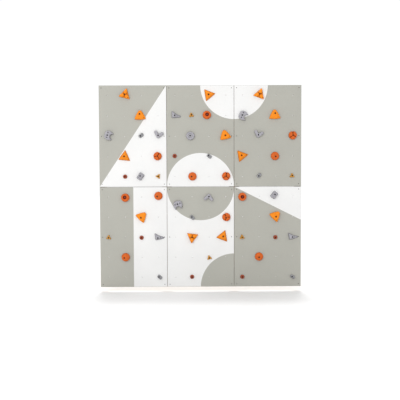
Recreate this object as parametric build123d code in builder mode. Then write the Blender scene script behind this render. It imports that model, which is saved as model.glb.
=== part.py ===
"""A wall-hung climbing wall: six boards on four battens, with bolted-on resin holds.

Millimetres. X runs to the right, Y into the building wall, Z up. The origin is the
centre of the fixing pattern, on the face of the building wall.
"""

from build123d import *
from math import cos, radians, sin
import os

# ---- boards ----
panel_width = 1000.0  # module, joint gap included
panel_height = 1500.0  # module, joint gap included
panel_columns = 3
panel_rows = 2
panel_thickness = 18.0
joint_gap = 3.0
board_edge_radius = 5.0  # round-over along the front edges

# ---- hole grid of one board, with its threaded inserts ----
hole_columns = 4
hole_rows = 5
hole_margin_x = 125.0  # module's side to the first hole
hole_margin_z = 150.0  # module's top or bottom to the first hole

# ---- hold bolts and washers ----
bolt_radius = 4.9
bolt_head_radius = 8.0
bolt_head_height = 10.0
bolt_socket_radius = 4.6  # across corners, 8 mm key
bolt_socket_depth = 6.0
bolt_run_out = 9.0  # past the back of the board
bolt_clearance = 0.6  # radial, bolt in hold and washer
washer_radius = 10.0
washer_thickness = 3.0
pocket_clearance = 0.5  # radial, washer in the hold's pocket
large_seat = 20.0  # board to washer, large holds
small_seat = 8.0  # board to washer, small holds

# ---- threaded inserts ----
thread_clearance = 0.1  # radial, bolt in insert
insert_wall = 0.9
insert_clearance = 0.1  # radial, barrel in board
insert_barrel_length = 13.0
insert_flange_radius = 12.5
insert_flange_thickness = 1.6

# ---- battens behind the boards ----
batten_depth = 48.0
seam_batten_width = 148.0
edge_batten_width = 98.0
batten_inset = 5.0  # from the outer edges of the boards
anchor_hole_radius = 5.5
anchor_head_radius = 13.0
anchor_head_depth = 14.0
anchor_rows = 4
anchor_pitch = 800.0

# ---- board screws ----
screw_radius = 3.0
screw_head_radius = 6.0
screw_inset = 38.0  # from the module's sides
screw_end_inset = 40.0  # from the module's top and bottom
screw_bite = 32.0  # length inside the batten
screw_socket_radius = 2.3
screw_socket_depth = 2.5
screw_clearance = 0.05

# ---- pin screws that stop the pointed holds from turning ----
pin_radius = 2.0
pin_head_radius = 4.0
pin_head_height = 3.0
pin_clearance = 0.3  # radial, pin screw in hold
pin_pocket_clearance = 0.6
pin_seat = 10.0  # board to pin screw head
pin_bite = 12.0  # length inside the board
triangle_pin_reach = 66.0  # a triangle's middle to its pin screw
triangle_pin_angle = 240
wedge_pin_reach = 45.0  # a wedge's bolt to its pin screw

# ---- hold bodies ----
rim = 4.0  # upright band at the back of every hold
triangle_radius = 98.0  # middle to sharp corner
triangle_corner = 8.0
pyramid_height = 52.0
pyramid_bulge = 1.5
pyramid_crown = 34.0  # middle to sharp corner of the crown
crater_radius = 28.0
crater_depth = 18.0
dished_height = 46.0
dished_bulge = 9.0
dished_crown = 70.0
dish_radius = 26.0
dish_depth = 7.0
lobed_height = 50.0
lobed_bulge = 2.0
lobed_crown = 62.0
valley_radius = 15.0
valley_floor = 34.0
valley_angles = (60, 180, 300)
disc_radius = 62.0
disc_crown = 30.0
shoulder_out = 0.71  # of the way from the crown to the rim
shoulder_up = 0.75  # of the way from the rim to the top
ring_height = 44.0
ring_crater_radius = 31.0
ring_crater_floor = 22.0
ring_crater_floor_radius = 20.0
dome_height = 46.0
dome_dish_radius = 22.0
lobed_disc_height = 44.0
notch_radius = 9.0
notch_angles = (60, 190, 300)
claw_height = 45.0
claw_crown = 0.84  # crown outline against the foot's
claw_bite_radius = 36.0
claw_bite_centre = 74.0  # bolt to the middle of the bite
boomerang_height = 42.0
boomerang_arm_length = 71.0
boomerang_arm_width = 48.0
boomerang_half_angle = 42.0
boomerang_heel = 13.0  # bolt to where the arms meet
boomerang_edge = 9.0
wedge_height = 42.0
wedge_crown = 0.62
wedge_corner = 6.0
block_length = 104.0
block_width = 80.0
block_height = 42.0
block_corner = 12.0
block_bevel = 13.0
puck_radius = 63.0
puck_height = 42.0
puck_crown = 36.0
small_red_radius = 31.0
small_red_height = 28.0
small_red_crown = 17.0
small_amber_radius = 46.0
small_amber_height = 28.0
small_amber_crown = 34.0
small_amber_corner = 7.0
small_amber_hollow = 5.0
small_grey_length = 74.0
small_grey_width = 50.0
small_grey_height = 26.0
small_grey_corner = 14.0
small_grey_bevel = 8.0

# Kind, hole column from the left, hole row from the top, turn in degrees, how far the
# bolt sits from the grid (right, up), and the body's middle from the bolt (right, up).
layout = {
    "top_left": [
        ("lobed_triangle", 2, 1, 75, (9, 15), (6, -3)),
        ("dished_triangle", 3, 2, 92, (-20, 25), (6, -24)),
        ("claw", 1, 3, -19, (4, 15), (0, 0)),
        ("small_grey", 3, 3, 40, (-10, 4), (8, 8)),
        ("boomerang", 4, 3, 75, (2, 9), (0, 0)),
        ("pyramid_triangle", 2, 4, 84, (-4, 3), (5, -6)),
        ("lobed_disc", 4, 4, 0, (-10, 5), (0, 0)),
        ("small_red", 2, 5, 0, (6, 4), (0, 0)),
        ("block", 3, 5, 57, (-18, 13), (2, -7)),
        ("small_amber", 4, 5, 60, (-2, 6), (0, 0)),
    ],
    "top_middle": [
        ("pyramid_triangle", 3, 1, 129, (-1, 9), (0, -1)),
        ("wedge", 1, 2, -8, (-2, 4), (-9, 0)),
        ("small_amber", 2, 2, 95, (-6, 11), (-2, -3)),
        ("ring_disc", 3, 2, 0, (-24, 15), (-4, -5)),
        ("puck", 2, 3, 0, (-26, 4), (2, 0)),
        ("dished_triangle", 4, 3, 103, (-5, 7), (-3, 1)),
        ("small_red", 1, 4, 0, (-7, 7), (0, 0)),
        ("small_grey", 3, 4, -35, (-4, 10), (11, -8)),
        ("dome_disc", 2, 5, 0, (-6, 1), (12, 3)),
        ("lobed_disc", 4, 5, 20, (6, 6), (0, 0)),
    ],
    "top_right": [
        ("lobed_triangle", 2, 1, 70, (3, 15), (0, -3)),
        ("claw", 1, 2, -27, (-5, 4), (0, 0)),
        ("dished_triangle", 3, 2, 92, (-18, 31), (-5, -25)),
        ("boomerang", 2, 3, 75, (-17, 13), (0, 0)),
        ("lobed_disc", 4, 3, 30, (-5, 7), (0, 0)),
        ("pyramid_triangle", 1, 4, 129, (-15, 13), (2, -5)),
        ("dome_disc", 3, 4, 0, (-11, -6), (-7, 8)),
        ("small_grey", 2, 5, 50, (-9, 7), (6, 8)),
        ("small_amber", 4, 5, 90, (-13, 10), (0, -2)),
    ],
    "bottom_left": [
        ("ring_disc", 2, 1, 0, (1, -4), (4, -5)),
        ("dome_disc", 4, 1, 0, (-18, 8), (16, 8)),
        ("dished_triangle", 3, 2, 45, (-12, -8), (11, 14)),
        ("small_amber", 1, 3, 85, (3, -3), (0, 0)),
        ("small_red", 3, 3, 0, (-7, -7), (0, 0)),
        ("wedge", 4, 3, 0, (-12, -10), (-6, 6)),
        ("dome_disc", 2, 4, 0, (-13, -5), (17, 6)),
        ("small_grey", 4, 5, -42, (0, 5), (11, -6)),
    ],
    "bottom_middle": [
        ("claw", 1, 1, -78, (31, -107), (0, 0)),
        ("boomerang", 3, 1, 262, (-1, 5), (0, 0)),
        ("small_grey", 2, 2, -45, (-6, 0), (8, -8)),
        ("lobed_disc", 4, 2, 60, (3, -12), (6, 8)),
        ("lobed_triangle", 2, 3, 23, (-4, 0), (3, -2)),
        ("pyramid_triangle", 4, 3, 69, (-40, 9), (-4, -3)),
        ("small_amber", 3, 4, 105, (3, -13), (0, 0)),
        ("small_red", 2, 5, 0, (-6, 2), (0, 0)),
    ],
    "bottom_right": [
        ("ring_disc", 1, 1, 0, (-3, -2), (0, 0)),
        ("block", 3, 1, 54, (-21, 29), (-7, -6)),
        ("dished_triangle", 3, 2, 44, (-4, 0), (-5, 11)),
        ("small_amber", 1, 3, 95, (-7, -6), (0, 0)),
        ("small_red", 3, 3, 0, (-10, -9), (0, 0)),
        ("wedge", 4, 3, 3, (-7, -4), (-15, 0)),
        ("dome_disc", 2, 4, 0, (-6, -6), (2, 8)),
        ("small_red", 1, 5, 0, (-4, -1), (0, 0)),
        ("small_grey", 4, 5, -28, (-10, 1), (10, -5)),
    ],
}

# ---- what follows from the sizes above ----
wall_width = panel_columns * panel_width
wall_height = panel_rows * panel_height
board_width = panel_width - joint_gap
board_height = panel_height - joint_gap
hole_pitch_x = (panel_width - 2 * hole_margin_x) / (hole_columns - 1)
hole_pitch_z = (panel_height - 2 * hole_margin_z) / (hole_rows - 1)
front = batten_depth + panel_thickness  # building wall to the boards' front
bolt_hole_radius = bolt_radius + bolt_clearance
pocket_radius = washer_radius + pocket_clearance
insert_thread_radius = bolt_radius + thread_clearance
insert_barrel_radius = insert_thread_radius + insert_wall
insert_hole_radius = insert_barrel_radius + insert_clearance
pin_pocket_radius = pin_head_radius + pin_pocket_clearance
board_names = list(layout)
small_kinds = ["small_red", "small_amber", "small_grey"]
pinned_kinds = ["lobed_triangle", "dished_triangle", "pyramid_triangle", "wedge"]
other_kinds = ["ring_disc", "dome_disc", "lobed_disc", "claw", "boomerang", "block", "puck"]
large_kinds = pinned_kinds + other_kinds
from_base = (Align.CENTER, Align.CENTER, Align.MIN)


def facing(x, z, out, turn=0.0):
    """A plane that faces out of the wall, at a place on the wall and a distance out."""
    angle = radians(turn)
    right = Vector(cos(angle), 0, sin(angle))
    return Plane(origin=(x, -out, z), x_dir=right, z_dir=(0, -1, 0))


def moved(base, right, up):
    """The same plane, moved along its own x and y."""
    origin = base.origin + base.x_dir * right + base.y_dir * up
    return Plane(origin=origin, x_dir=base.x_dir, z_dir=base.z_dir)


def polar(radius, angle):
    return radius * cos(radians(angle)), radius * sin(radians(angle))


def board_centre(name):
    """The middle of a board's module, as X and Z."""
    row, column = divmod(board_names.index(name), panel_columns)
    x = (column - (panel_columns - 1) / 2) * panel_width
    z = ((panel_rows - 1) / 2 - row) * panel_height
    return x, z


def hole_place(name, column, row):
    """A hole of a board's grid, as X and Z."""
    x, z = board_centre(name)
    x += (column - (hole_columns + 1) / 2) * hole_pitch_x
    z -= (row - (hole_rows + 1) / 2) * hole_pitch_z
    return x, z


def insert_places(name):
    """The threaded inserts of a board: on the grid, or moved with their hold."""
    shifts = {(hold[1], hold[2]): hold[4] for hold in layout[name]}
    places = []
    for row in range(1, hole_rows + 1):
        for column in range(1, hole_columns + 1):
            x, z = hole_place(name, column, row)
            right, up = shifts.get((column, row), (0, 0))
            places.append((x + right, z + up))
    return places


def hold_bases(kinds):
    """Kind, bolt plane and turned body plane of each hold of these kinds."""
    found = []
    for name, holds in layout.items():
        for kind, column, row, turn, (right, up), (lean_x, lean_z) in holds:
            if kind in kinds:
                x, z = hole_place(name, column, row)
                bolt = facing(x + right, z + up, front)
                body = facing(x + right + lean_x, z + up + lean_z, front, turn)
                found.append((kind, bolt, body))
    return found


def screw_places(name):
    """The six screws of a board, as X and Z: three down each side."""
    x, z = board_centre(name)
    side = panel_width / 2 - screw_inset
    end = panel_height / 2 - screw_end_inset
    return [(x + i * side, z + j * end) for i in (-1, 1) for j in (-1, 0, 1)]


def pin_base(kind, body):
    """Where a pin screw enters the board: near a triangle's corner or a wedge's point."""
    if kind == "wedge":
        return moved(body, wedge_pin_reach, 0)
    return moved(body, *polar(triangle_pin_reach, triangle_pin_angle))


def finish(builder, name):
    """Label a finished piece and write it."""
    builder.part.label = name
    export_step(builder.part, f"parts/{name}.step")


# ---- boards and battens ----


def make_board(name):
    """One board: rounded front edges, the hole grid, screw holes and pin screw pilots."""
    x, z = board_centre(name)
    face = facing(x, z, front)
    pins = [pin_base(kind, body) for kind, bolt, body in hold_bases(pinned_kinds)]
    pins = [
        pin
        for pin in pins
        if abs(pin.origin.X - x) < panel_width / 2
        and abs(pin.origin.Z - z) < panel_height / 2
    ]
    with BuildPart() as board:
        with BuildSketch(face):
            Rectangle(board_width, board_height)
        extrude(amount=-panel_thickness)
        fillet(board.faces().sort_by(Axis.Y)[0].edges(), board_edge_radius)
        with Locations(*[facing(px, pz, front) for px, pz in insert_places(name)]):
            Hole(insert_hole_radius, depth=panel_thickness)
        with Locations(*[facing(px, pz, front) for px, pz in screw_places(name)]):
            CounterSinkHole(
                screw_radius + screw_clearance,
                screw_head_radius + screw_clearance,
                depth=panel_thickness,
            )
        if pins:
            with Locations(*pins):
                Hole(pin_radius + screw_clearance, depth=pin_bite + 1)
    return board


def batten_spans():
    """Name, middle and width of each batten, from left to right."""
    outer = wall_width / 2 - batten_inset - edge_batten_width / 2
    seam = panel_width / 2
    return [
        ("left_edge_batten", -outer, edge_batten_width),
        ("left_seam_batten", -seam, seam_batten_width),
        ("right_seam_batten", seam, seam_batten_width),
        ("right_edge_batten", outer, edge_batten_width),
    ]


def make_batten(x, width):
    """One batten, with counterbored anchor holes and the pilots of the board screws."""
    first = -(anchor_rows - 1) / 2 * anchor_pitch
    anchors = [facing(x, first + i * anchor_pitch, batten_depth) for i in range(anchor_rows)]
    pilots = [
        facing(px, pz, batten_depth)
        for name in board_names
        for px, pz in screw_places(name)
        if abs(px - x) < width / 2
    ]
    with BuildPart() as batten:
        with BuildSketch(facing(x, 0, 0)):
            Rectangle(width, wall_height - 2 * batten_inset)
        extrude(amount=batten_depth)
        with Locations(*anchors):
            CounterBoreHole(anchor_hole_radius, anchor_head_radius, anchor_head_depth)
        with Locations(*pilots):
            Hole(screw_radius + screw_clearance, depth=screw_bite + 1)
    return batten


# ---- hold outlines ----


def triangle_outline(plane, radius, corner, bulge):
    """Three sides with a bulge and rounded corners, the first corner along x."""
    corners = [Vector(*polar(radius, 120 * i)) for i in range(3)]
    with BuildSketch(plane) as outline:
        with BuildLine():
            for start, end in zip(corners, corners[1:] + corners[:1]):
                middle = (start + end) / 2
                ThreePointArc(start, middle + middle.normalized() * bulge, end)
        make_face()
        fillet(outline.vertices(), corner)
    return outline.sketch


def wedge_outline(plane, share=1.0):
    """A blunt left side and a long point to the right."""
    points = [(-46, 62), (-31, -38), (84, -20), (106, 4)]
    with BuildSketch(plane) as outline:
        with BuildLine():
            Polyline(*[(x * share, y * share) for x, y in points], close=True)
        make_face()
        fillet(outline.vertices(), wedge_corner * share)
    return outline.sketch


def claw_outline(plane, share=1.0):
    """A pad with a round bite on its x side, between two horns."""
    points = [(-46, -26), (-30, -52), (24, -66), (76, -48), (76, 48), (24, 72), (-30, 62)]
    points.append((-46, 38))
    with BuildSketch(plane) as outline:
        with BuildLine():
            Polyline(*[(x * share, y * share) for x, y in points], close=True)
        make_face()
        with Locations((claw_bite_centre, 0)):
            Circle(claw_bite_radius / share, mode=Mode.SUBTRACT)
    return outline.sketch


def boomerang_outline(plane):
    """Two arms that meet in a rounded heel, open along x."""
    with BuildSketch(plane) as outline:
        for angle in (boomerang_half_angle, -boomerang_half_angle):
            x, y = polar(boomerang_arm_length / 2, angle)
            with Locations((x - boomerang_heel, y)):
                SlotCenterToCenter(boomerang_arm_length, boomerang_arm_width, rotation=angle)
    return outline.sketch


# ---- holds ----


def cut_pocket(bolt, seat, top):
    """The bolt's hole and the pocket above the washer's seat, in the hold being made."""
    with Locations(bolt):
        Cylinder(bolt_hole_radius, seat, align=from_base, mode=Mode.SUBTRACT)
    with Locations(bolt.offset(seat)):
        Cylinder(pocket_radius, top - seat, align=from_base, mode=Mode.SUBTRACT)


def cut_pin_pocket(pin, top):
    """The pin screw's hole and head pocket, in the hold being made."""
    with Locations(pin):
        Cylinder(pin_radius + pin_clearance, pin_seat, align=from_base, mode=Mode.SUBTRACT)
    with Locations(pin.offset(pin_seat)):
        Cylinder(pin_pocket_radius, top - pin_seat, align=from_base, mode=Mode.SUBTRACT)


def dome_outline(plane, radius, height, crown):
    """Half a dome's section: an upright rim, a round shoulder and a flat crown."""
    upright = Plane(origin=plane.origin, x_dir=plane.x_dir, z_dir=-plane.y_dir)
    shoulder = crown + (radius - crown) * shoulder_out
    shoulder_height = rim + (height - rim) * shoulder_up
    with BuildSketch(upright) as section:
        with BuildLine():
            Polyline((0, height), (0, 0), (radius, 0), (radius, rim))
            ThreePointArc((radius, rim), (shoulder, shoulder_height), (crown, height))
            Line((crown, height), (0, height))
        make_face()
    return section.sketch


def make_triangle(kind, bolt, body):
    """One of the three triangular kinds of hold."""
    height = {
        "pyramid_triangle": pyramid_height,
        "dished_triangle": dished_height,
        "lobed_triangle": lobed_height,
    }[kind]
    crown = {
        "pyramid_triangle": pyramid_crown,
        "dished_triangle": dished_crown,
        "lobed_triangle": lobed_crown,
    }[kind]
    bulge = {
        "pyramid_triangle": pyramid_bulge,
        "dished_triangle": dished_bulge,
        "lobed_triangle": lobed_bulge,
    }[kind]
    foot = triangle_outline(body, triangle_radius, triangle_corner, bulge)
    band = triangle_outline(body.offset(rim), triangle_radius, triangle_corner, bulge)
    top = triangle_outline(body.offset(height), crown, triangle_corner, bulge / 2)
    with BuildPart() as hold:
        extrude(foot, amount=rim)
        loft([band, top])
        if kind == "pyramid_triangle":
            with Locations(bolt.offset(height - crater_depth)):
                Cone(
                    pocket_radius,
                    crater_radius,
                    crater_depth,
                    align=from_base,
                    mode=Mode.SUBTRACT,
                )
        if kind == "dished_triangle":
            ball = (dish_radius**2 + dish_depth**2) / (2 * dish_depth)
            with Locations(bolt.offset(height - dish_depth + ball)):
                Sphere(ball, mode=Mode.SUBTRACT)
        if kind == "lobed_triangle":
            for angle in valley_angles:
                out = body.x_dir * cos(radians(angle)) + body.y_dir * sin(radians(angle))
                start = bolt.offset(valley_floor + valley_radius).origin
                with Locations(Plane(origin=start, z_dir=out)):
                    Cylinder(valley_radius, triangle_radius, align=from_base, mode=Mode.SUBTRACT)
        cut_pocket(bolt, large_seat, height)
        cut_pin_pocket(pin_base(kind, body), height)
    return hold


def make_disc(kind, bolt, body):
    """One of the round kinds of hold."""
    sizes = {
        "ring_disc": (disc_radius, ring_height, disc_crown),
        "dome_disc": (disc_radius, dome_height, disc_crown),
        "lobed_disc": (disc_radius, lobed_disc_height, disc_crown),
        "puck": (puck_radius, puck_height, puck_crown),
    }
    radius, height, crown = sizes[kind]
    section = dome_outline(body, radius, height, crown)
    with BuildPart() as hold:
        revolve(section, axis=Axis(body.origin, body.z_dir))
        if kind == "ring_disc":
            with Locations(bolt.offset(ring_crater_floor)):
                Cone(
                    ring_crater_floor_radius,
                    ring_crater_radius,
                    height - ring_crater_floor,
                    align=from_base,
                    mode=Mode.SUBTRACT,
                )
        if kind == "dome_disc":
            with Locations(bolt.offset(height)):
                Sphere(dome_dish_radius, mode=Mode.SUBTRACT)
        if kind == "lobed_disc":
            for angle in notch_angles:
                out = body.x_dir * cos(radians(angle)) + body.y_dir * sin(radians(angle))
                start = body.offset(height).origin + out * crown / 2
                with Locations(Plane(origin=start, z_dir=out)):
                    Cylinder(notch_radius, radius, align=from_base, mode=Mode.SUBTRACT)
        cut_pocket(bolt, large_seat, height)
    return hold


def make_claw(bolt, body):
    """A pad with a bite out of one side."""
    with BuildPart() as hold:
        extrude(claw_outline(body), amount=rim)
        loft(
            [claw_outline(body.offset(rim)), claw_outline(body.offset(claw_height), claw_crown)],
            ruled=True,
        )
        cut_pocket(bolt, large_seat, claw_height)
    return hold


def make_boomerang(bolt, body):
    """Two rounded arms."""
    with BuildPart() as hold:
        extrude(boomerang_outline(body), amount=boomerang_height)
        fillet(hold.faces().sort_by(Axis.Y)[0].edges(), boomerang_edge)
        cut_pocket(bolt, large_seat, boomerang_height)
    return hold


def make_wedge(bolt, body):
    """A sloped point with a pin screw half way along it."""
    with BuildPart() as hold:
        extrude(wedge_outline(body), amount=rim)
        loft([wedge_outline(body.offset(rim)), wedge_outline(body.offset(wedge_height), wedge_crown)])
        cut_pocket(bolt, large_seat, wedge_height)
        cut_pin_pocket(pin_base("wedge", body), wedge_height)
    return hold


def rounded_block(base, length, width, height, corner, bevel):
    """A rounded block with bevelled sides, added to the hold being made."""
    with BuildSketch(base) as foot:
        RectangleRounded(length, width, corner)
    extrude(foot.sketch, amount=rim)
    with BuildSketch(base.offset(rim)) as band:
        RectangleRounded(length, width, corner)
    with BuildSketch(base.offset(height)) as top:
        RectangleRounded(length - 2 * bevel, width - 2 * bevel, corner)
    loft([band.sketch, top.sketch])


def make_block(bolt, body):
    """A rounded block with bevelled sides."""
    with BuildPart() as hold:
        rounded_block(body, block_length, block_width, block_height, block_corner, block_bevel)
        cut_pocket(bolt, large_seat, block_height)
    return hold


def make_hold(kind, bolt, body):
    """One large hold."""
    if kind in ("lobed_triangle", "dished_triangle", "pyramid_triangle"):
        return make_triangle(kind, bolt, body)
    if kind in ("ring_disc", "dome_disc", "lobed_disc", "puck"):
        return make_disc(kind, bolt, body)
    makers = {
        "claw": make_claw,
        "boomerang": make_boomerang,
        "wedge": make_wedge,
        "block": make_block,
    }
    return makers[kind](bolt, body)


def make_small_reds():
    """The six small round knobs."""
    with BuildPart() as knobs:
        for kind, bolt, body in hold_bases(["small_red"]):
            section = dome_outline(body, small_red_radius, small_red_height, small_red_crown)
            revolve(section, axis=Axis(body.origin, body.z_dir))
            cut_pocket(bolt, small_seat, small_red_height)
    return knobs


def make_small_ambers():
    """The six small three-cornered knobs."""
    corner = small_amber_corner
    hollow = -small_amber_hollow
    with BuildPart() as knobs:
        for kind, bolt, body in hold_bases(["small_amber"]):
            foot = triangle_outline(body, small_amber_radius, corner, hollow)
            extrude(foot, amount=rim)
            band = triangle_outline(body.offset(rim), small_amber_radius, corner, hollow)
            crown = body.offset(small_amber_height)
            top = triangle_outline(crown, small_amber_crown, corner, hollow / 2)
            loft([band, top])
            cut_pocket(bolt, small_seat, small_amber_height)
    return knobs


def make_small_greys():
    """The six small rounded pads."""
    with BuildPart() as knobs:
        for kind, bolt, body in hold_bases(["small_grey"]):
            rounded_block(
                body,
                small_grey_length,
                small_grey_width,
                small_grey_height,
                small_grey_corner,
                small_grey_bevel,
            )
            cut_pocket(bolt, small_seat, small_grey_height)
    return knobs


# ---- hardware ----


def make_inserts():
    """The threaded inserts of all boards, pressed in from the back."""
    places = [place for name in board_names for place in insert_places(name)]
    backs = [facing(x, z, batten_depth) for x, z in places]
    with BuildPart() as inserts:
        with BuildSketch(*[back.offset(-insert_flange_thickness) for back in backs]):
            Circle(insert_flange_radius)
            Circle(insert_thread_radius, mode=Mode.SUBTRACT)
        extrude(amount=insert_flange_thickness)
        with BuildSketch(*backs):
            Circle(insert_barrel_radius)
            Circle(insert_thread_radius, mode=Mode.SUBTRACT)
        extrude(amount=insert_barrel_length)
    return inserts


def make_bolts(kinds, seat):
    """Socket-head bolts for these kinds of hold, from washer to past the board."""
    bases = [bolt.offset(seat + washer_thickness) for kind, bolt, body in hold_bases(kinds)]
    length = seat + washer_thickness + panel_thickness + bolt_run_out
    with BuildPart() as bolts:
        with BuildSketch(*bases):
            Circle(bolt_radius)
        extrude(amount=-length)
        with BuildSketch(*bases):
            Circle(bolt_head_radius)
        extrude(amount=bolt_head_height)
        with BuildSketch(*[base.offset(bolt_head_height) for base in bases]):
            RegularPolygon(bolt_socket_radius, 6)
        extrude(amount=-bolt_socket_depth, mode=Mode.SUBTRACT)
    return bolts


def make_washers():
    """The steel washers under the bolt heads, in the holds' pockets."""
    large = [bolt.offset(large_seat) for kind, bolt, body in hold_bases(large_kinds)]
    small = [bolt.offset(small_seat) for kind, bolt, body in hold_bases(small_kinds)]
    with BuildPart() as washers:
        with BuildSketch(*large, *small):
            Circle(washer_radius)
            Circle(bolt_hole_radius, mode=Mode.SUBTRACT)
        extrude(amount=washer_thickness)
    return washers


def make_panel_screws():
    """Countersunk screws through the boards into the battens."""
    places = [place for name in board_names for place in screw_places(name)]
    faces = [facing(x, z, front) for x, z in places]
    cone_height = screw_head_radius - screw_radius
    with BuildPart() as screws:
        with BuildSketch(*faces):
            Circle(screw_radius)
        extrude(amount=-(panel_thickness + screw_bite))
        with Locations(*[face.offset(-cone_height) for face in faces]):
            Cone(screw_radius, screw_head_radius, cone_height, align=from_base)
        with BuildSketch(*faces):
            Circle(screw_socket_radius)
        extrude(amount=-screw_socket_depth, mode=Mode.SUBTRACT)
    return screws


def make_pin_screws():
    """Pan-head screws that stop the pointed holds from turning on their bolts."""
    bases = [pin_base(kind, body) for kind, bolt, body in hold_bases(pinned_kinds)]
    with BuildPart() as pins:
        with BuildSketch(*[base.offset(pin_seat) for base in bases]):
            Circle(pin_radius)
        extrude(amount=-(pin_seat + pin_bite))
        with BuildSketch(*[base.offset(pin_seat) for base in bases]):
            Circle(pin_head_radius)
        extrude(amount=pin_head_height)
    return pins


os.makedirs("parts", exist_ok=True)

for name in board_names:
    finish(make_board(name), f"board_{name}")
for name, x, width in batten_spans():
    finish(make_batten(x, width), name)
for kind in large_kinds:
    for number, (_, bolt, body) in enumerate(hold_bases([kind]), 1):
        finish(make_hold(kind, bolt, body), f"{kind}_{number}")
finish(make_small_reds(), "small_red_knobs")
finish(make_small_ambers(), "small_amber_knobs")
finish(make_small_greys(), "small_grey_pads")
finish(make_inserts(), "threaded_inserts")
finish(make_bolts(large_kinds, large_seat), "hold_bolts_long")
finish(make_bolts(small_kinds, small_seat), "hold_bolts_short")
finish(make_washers(), "bolt_washers")
finish(make_panel_screws(), "board_screws")
finish(make_pin_screws(), "pin_screws")
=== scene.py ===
import math
from collections import namedtuple

import bmesh
import bpy
import numpy as np
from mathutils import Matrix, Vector
from mathutils.geometry import delaunay_2d_cdt


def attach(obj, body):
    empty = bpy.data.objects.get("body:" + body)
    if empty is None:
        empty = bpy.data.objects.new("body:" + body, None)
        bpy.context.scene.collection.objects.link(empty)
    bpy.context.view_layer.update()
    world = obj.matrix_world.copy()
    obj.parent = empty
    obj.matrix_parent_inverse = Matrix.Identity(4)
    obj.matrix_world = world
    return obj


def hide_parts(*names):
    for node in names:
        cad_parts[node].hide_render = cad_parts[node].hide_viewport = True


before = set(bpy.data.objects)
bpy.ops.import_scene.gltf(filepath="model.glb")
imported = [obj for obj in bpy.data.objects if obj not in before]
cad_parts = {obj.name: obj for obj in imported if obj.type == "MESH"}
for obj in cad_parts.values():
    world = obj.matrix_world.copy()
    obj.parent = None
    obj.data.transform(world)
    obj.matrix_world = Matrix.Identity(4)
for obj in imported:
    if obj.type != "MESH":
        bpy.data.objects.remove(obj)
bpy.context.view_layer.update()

# Sizes in millimetres, angles in degrees. On the wall, u runs right and v runs up from a
# place on the boards' front, and w out of the wall. x and z are the same, from the frame's origin.
MM = 0.001
BOARD_W = 1000.0
BOARD_H = 1500.0
BOARD_T = 18.0
GAP = 3.0  # joint between two boards
BATTEN = 48.0  # the battens' depth
FRONT = BATTEN + BOARD_T  # the boards' front, from the building wall
GRID_U, GRID_V = 250.0, 300.0  # pitch of the socket holes
SCREW_U, SCREW_V = 462.0, 710.0  # outer board screws, from a board's middle
SEAT = {"large": 20.0, "small": 8.0}  # what a bolt's washer sits on, above the boards
WASHER_T = 3.0
FOOT = 4.0  # height of a hold's side where its rounding starts
DISC_R = 62.0  # radius of the discs and the puck
PIN_DEPTH = 10.0  # where a pin screw's head sits, above the boards

BOARDS = ["top_left", "top_middle", "top_right", "bottom_left", "bottom_middle", "bottom_right"]

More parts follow.
